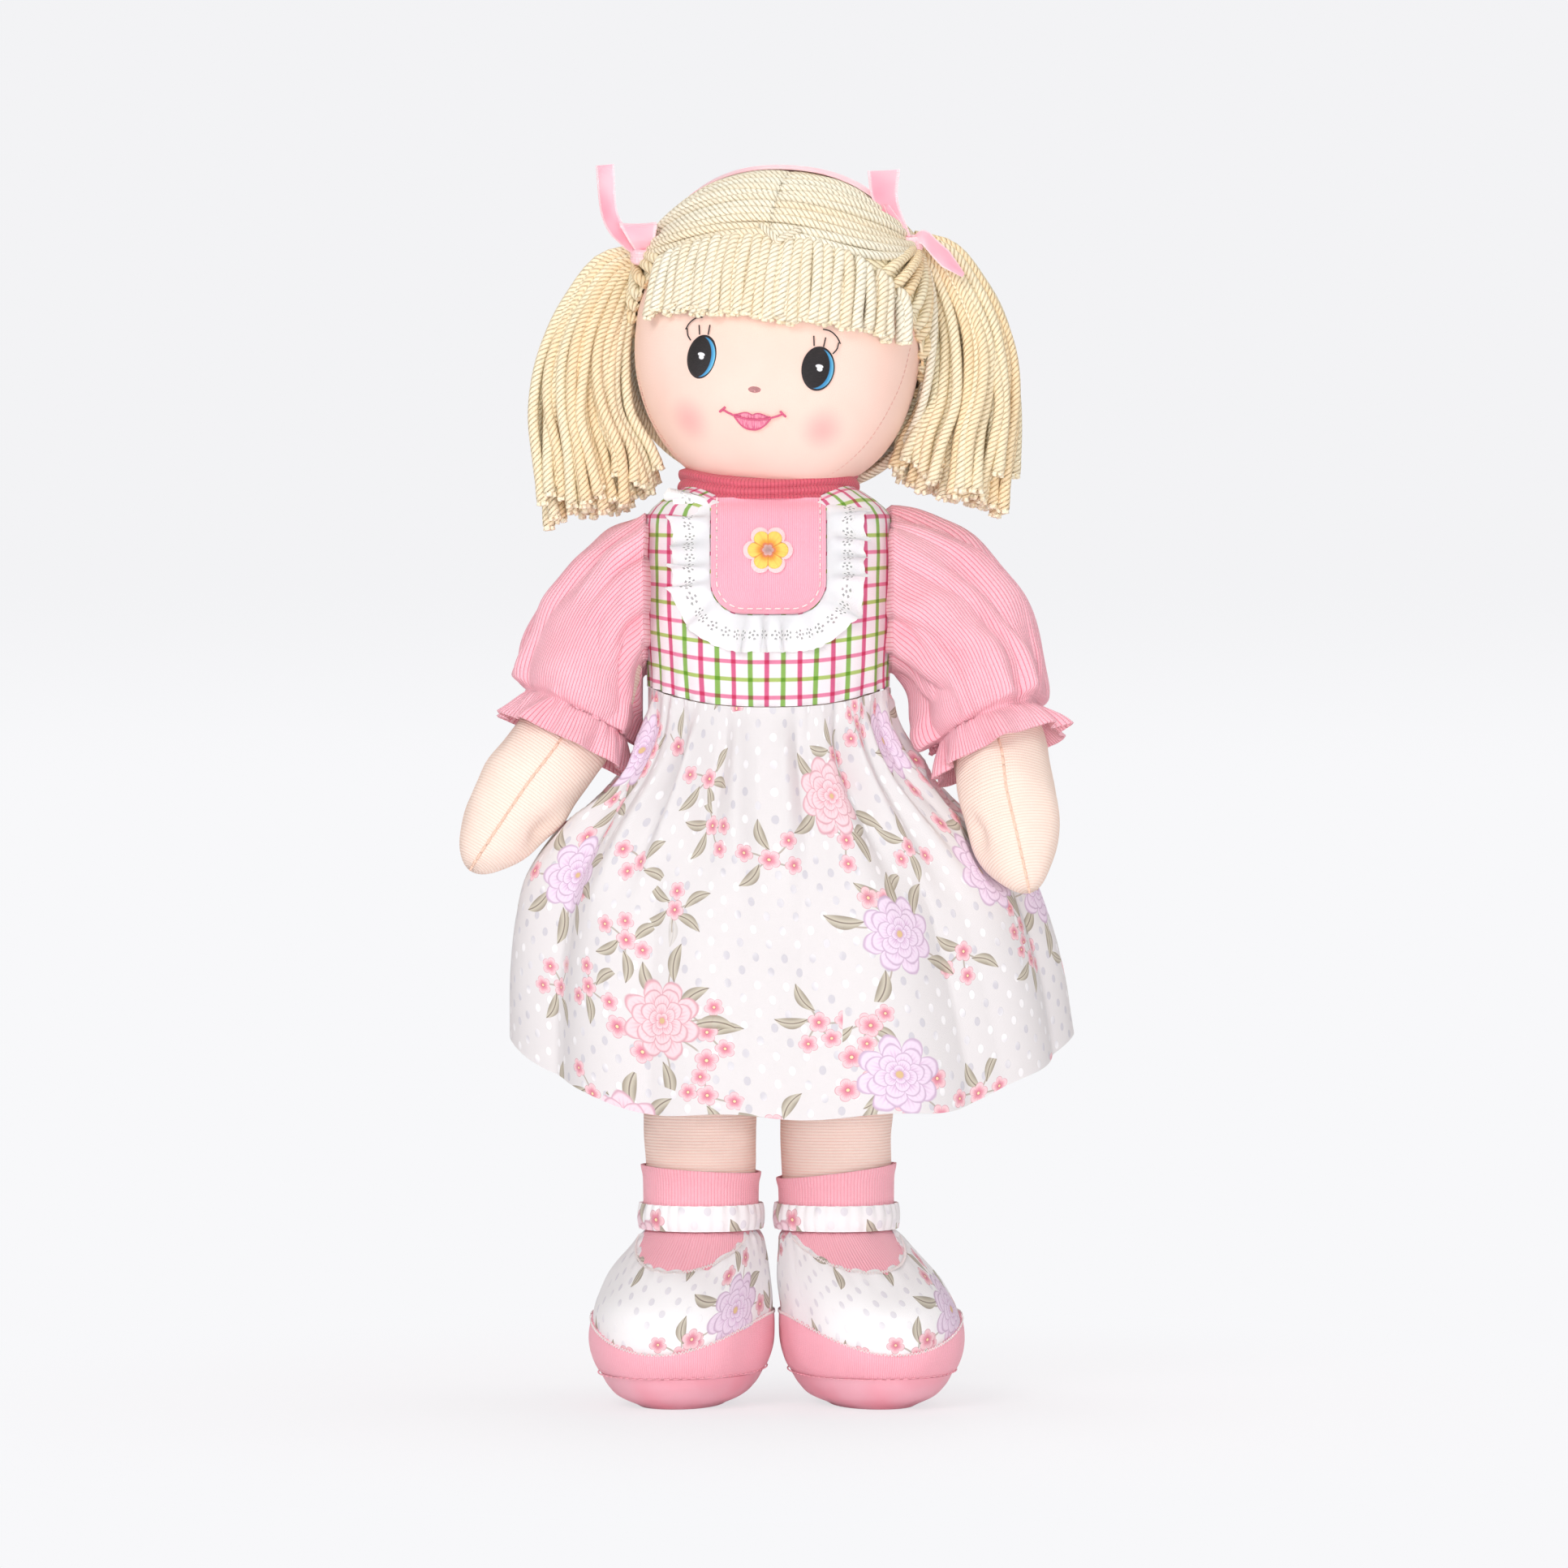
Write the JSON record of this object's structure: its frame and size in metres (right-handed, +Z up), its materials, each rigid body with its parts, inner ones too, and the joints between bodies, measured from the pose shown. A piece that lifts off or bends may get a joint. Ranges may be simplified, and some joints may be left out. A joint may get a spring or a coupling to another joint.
{
  "type": "rag doll",
  "caption": "Soft cloth rag doll with yarn pigtails, embroidered face, puff-sleeved plaid and floral dress, ribbed limbs, socks and soft shoes; jointed at neck, shoulders and hips.",
  "frame": {"origin": "middle of the whole doll's box, on the floor it stands on", "axes": "+Z up, the doll faces -Y, +X toward the doll's own left"},
  "size_m": [0.3027, 0.1976, 0.6026],
  "materials": {
    "skin_knit": "fine rib knit, matt",
    "plaid": "woven cotton plaid, white with pink and green lines",
    "floral": "satin-dot jacquard with a flower print",
    "pink_knit": "fine-wale rib knit, matt",
    "collar_knit": "rib knit folds, matt",
    "pink_satin": "satin ribbon",
    "sole_satin": "smooth brushed satin, padded",
    "lace": "gathered eyelet lace",
    "yarn": "plied wool yarn",
    "eye_thread": "embroidery thread, slight sheen",
    "mouth_thread": "embroidery thread",
    "flower_satin": "satin petals with a felt border",
    "elastic": "gathered elastic"
  },
  "bodies": {
    "torso": {"torso": "skin_knit", "bodice": "plaid", "bib": "pink_knit", "lace_trim": "lace", "flower_patch": "flower_satin", "collar": "collar_knit", "skirt": "floral"},
    "neck": {"neck": "skin_knit"},
    "head": {"head": "skin_knit", "eye_left": "eye_thread", "eye_right": "eye_thread", "nose": "pink_satin", "mouth": "mouth_thread", "hair_cap": "yarn", "fringe": "yarn", "crown_ribbon": "pink_satin", "bow_left": "pink_satin", "bow_right": "pink_satin"},
    "pigtail_left": {"pigtail_left": "yarn"},
    "pigtail_right": {"pigtail_right": "yarn"},
    "arm_left": {"arm_left": "skin_knit", "sleeve_left": "pink_knit", "cuff_elastic_left": "elastic"},
    "arm_right": {"arm_right": "skin_knit", "sleeve_right": "pink_knit", "cuff_elastic_right": "elastic"},
    "hips": {"hips": "skin_knit"},
    "leg_left": {"leg_left": "skin_knit", "sock_left": "pink_knit", "shoe_strap_left": "floral", "foot_left": "pink_knit", "shoe_sole_left": "sole_satin", "shoe_band_left": "pink_knit", "shoe_upper_left": "floral"},
    "leg_right": {"leg_right": "skin_knit", "sock_right": "pink_knit", "shoe_strap_right": "floral", "foot_right": "pink_knit", "shoe_sole_right": "sole_satin", "shoe_band_right": "pink_knit", "shoe_upper_right": "floral"}
  },
  "joints": [
    {"name": "neck_turn", "type": "hinge", "parent": "torso", "child": "neck", "pos_m": [0, 0, 0.455], "axis": [0, 0, 1], "range_deg": [-60, 60]},
    {"name": "neck_nod", "type": "hinge", "parent": "neck", "child": "head", "pos_m": [0, 0, 0.455], "axis": [1, 0, 0], "range_deg": [-15, 12], "deforming": ["collar"]},
    {"name": "shoulder_left", "type": "hinge", "parent": "torso", "child": "arm_left", "pos_m": [0.06, 0, 0.394], "axis": [-1, 0, 0], "range_deg": [-30, 150]},
    {"name": "shoulder_right", "type": "hinge", "parent": "torso", "child": "arm_right", "pos_m": [-0.06, 0, 0.394], "axis": [-1, 0, 0], "range_deg": [-30, 150]},
    {"name": "sit_fold", "type": "hinge", "parent": "torso", "child": "hips", "pos_m": [0, 0, 0.3005], "axis": [-1, 0, 0], "range_deg": [0, 85], "deforming": ["skirt"]},
    {"name": "hip_left", "type": "hinge", "parent": "hips", "child": "leg_left", "pos_m": [0.033, 0, 0.242], "axis": [-1, 0, 0], "range_deg": [-25, 30]},
    {"name": "hip_right", "type": "hinge", "parent": "hips", "child": "leg_right", "pos_m": [-0.033, 0, 0.242], "axis": [-1, 0, 0], "range_deg": [-25, 30]},
    {"name": "pigtail_left_swing", "type": "hinge", "parent": "head", "child": "pigtail_left", "pos_m": [0.0685, 0.006, 0.562], "axis": [0, -1, 0], "range_deg": [0, 50], "deforming": ["pigtail_left"]},
    {"name": "pigtail_right_swing", "type": "hinge", "parent": "head", "child": "pigtail_right", "pos_m": [-0.0605, 0.006, 0.556], "axis": [0, 1, 0], "range_deg": [0, 50], "deforming": ["pigtail_right"]}
  ]
}
